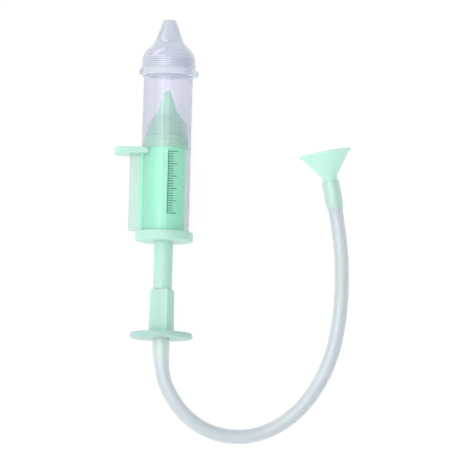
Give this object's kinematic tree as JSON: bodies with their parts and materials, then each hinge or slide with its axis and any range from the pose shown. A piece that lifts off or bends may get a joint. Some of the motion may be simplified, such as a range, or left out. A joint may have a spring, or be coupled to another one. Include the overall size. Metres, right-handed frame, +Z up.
{
  "type": "nasal aspirator",
  "caption": "Mouth-suction nasal aspirator: clear tube with a soft nozzle cap, mint syringe barrel and plunger, finger rest, and a flexible hose with a funnel mouthpiece.",
  "frame": {"origin": "On the surface that the aspirator lies on, under the middle of the aspirator without its hose.", "axes": "+Y along the tube towards the nozzle, +Z up from the surface, +X towards the side where the hose curls round, away from the finger rest."},
  "size_m": [0.1345, 0.2389, 0.036],
  "materials": {
    "soft_clear": "clear soft silicone, glossy, faint lilac tint",
    "clear_plastic": "clear rigid plastic, glossy",
    "mint_barrel": "smooth mint green plastic",
    "mint_plastic": "smooth pale mint plastic, semi-gloss, slightly translucent",
    "mint_soft": "soft translucent mint silicone",
    "foam": "white open-cell foam",
    "seal_rubber": "white silicone",
    "clear_hose": "translucent milky soft hose"
  },
  "bodies": {
    "barrel": {"outer_tube": "clear_plastic", "inner_barrel": "mint_barrel", "finger_rest": "mint_plastic", "nose_cone": "mint_barrel", "nose_dome": "clear_plastic", "barrel_seal": "mint_soft", "filter_foam": "foam", "collar": "mint_plastic"},
    "nozzle": {"nozzle_cap": "soft_clear"},
    "plunger": {"piston": "mint_barrel", "piston_ring": "seal_rubber", "rod": "mint_plastic", "thumb_handle": "mint_plastic", "hose": "clear_hose"},
    "mouthpiece": {"mouthpiece": "mint_plastic"}
  },
  "joints": [
    {"name": "plunger_slide", "type": "slide", "parent": "barrel", "child": "plunger", "axis": [0, 1, 0], "range_m": [0, 0.0268]},
    {"name": "nozzle_pull", "type": "slide", "parent": "barrel", "child": "nozzle", "axis": [0, 1, 0], "range_m": [0, 0.03]},
    {"name": "mouthpiece_pull", "type": "slide", "parent": "plunger", "child": "mouthpiece", "axis": [-0.2133, 0.9757, 0.0502], "range_m": [0, 0.022]}
  ]
}
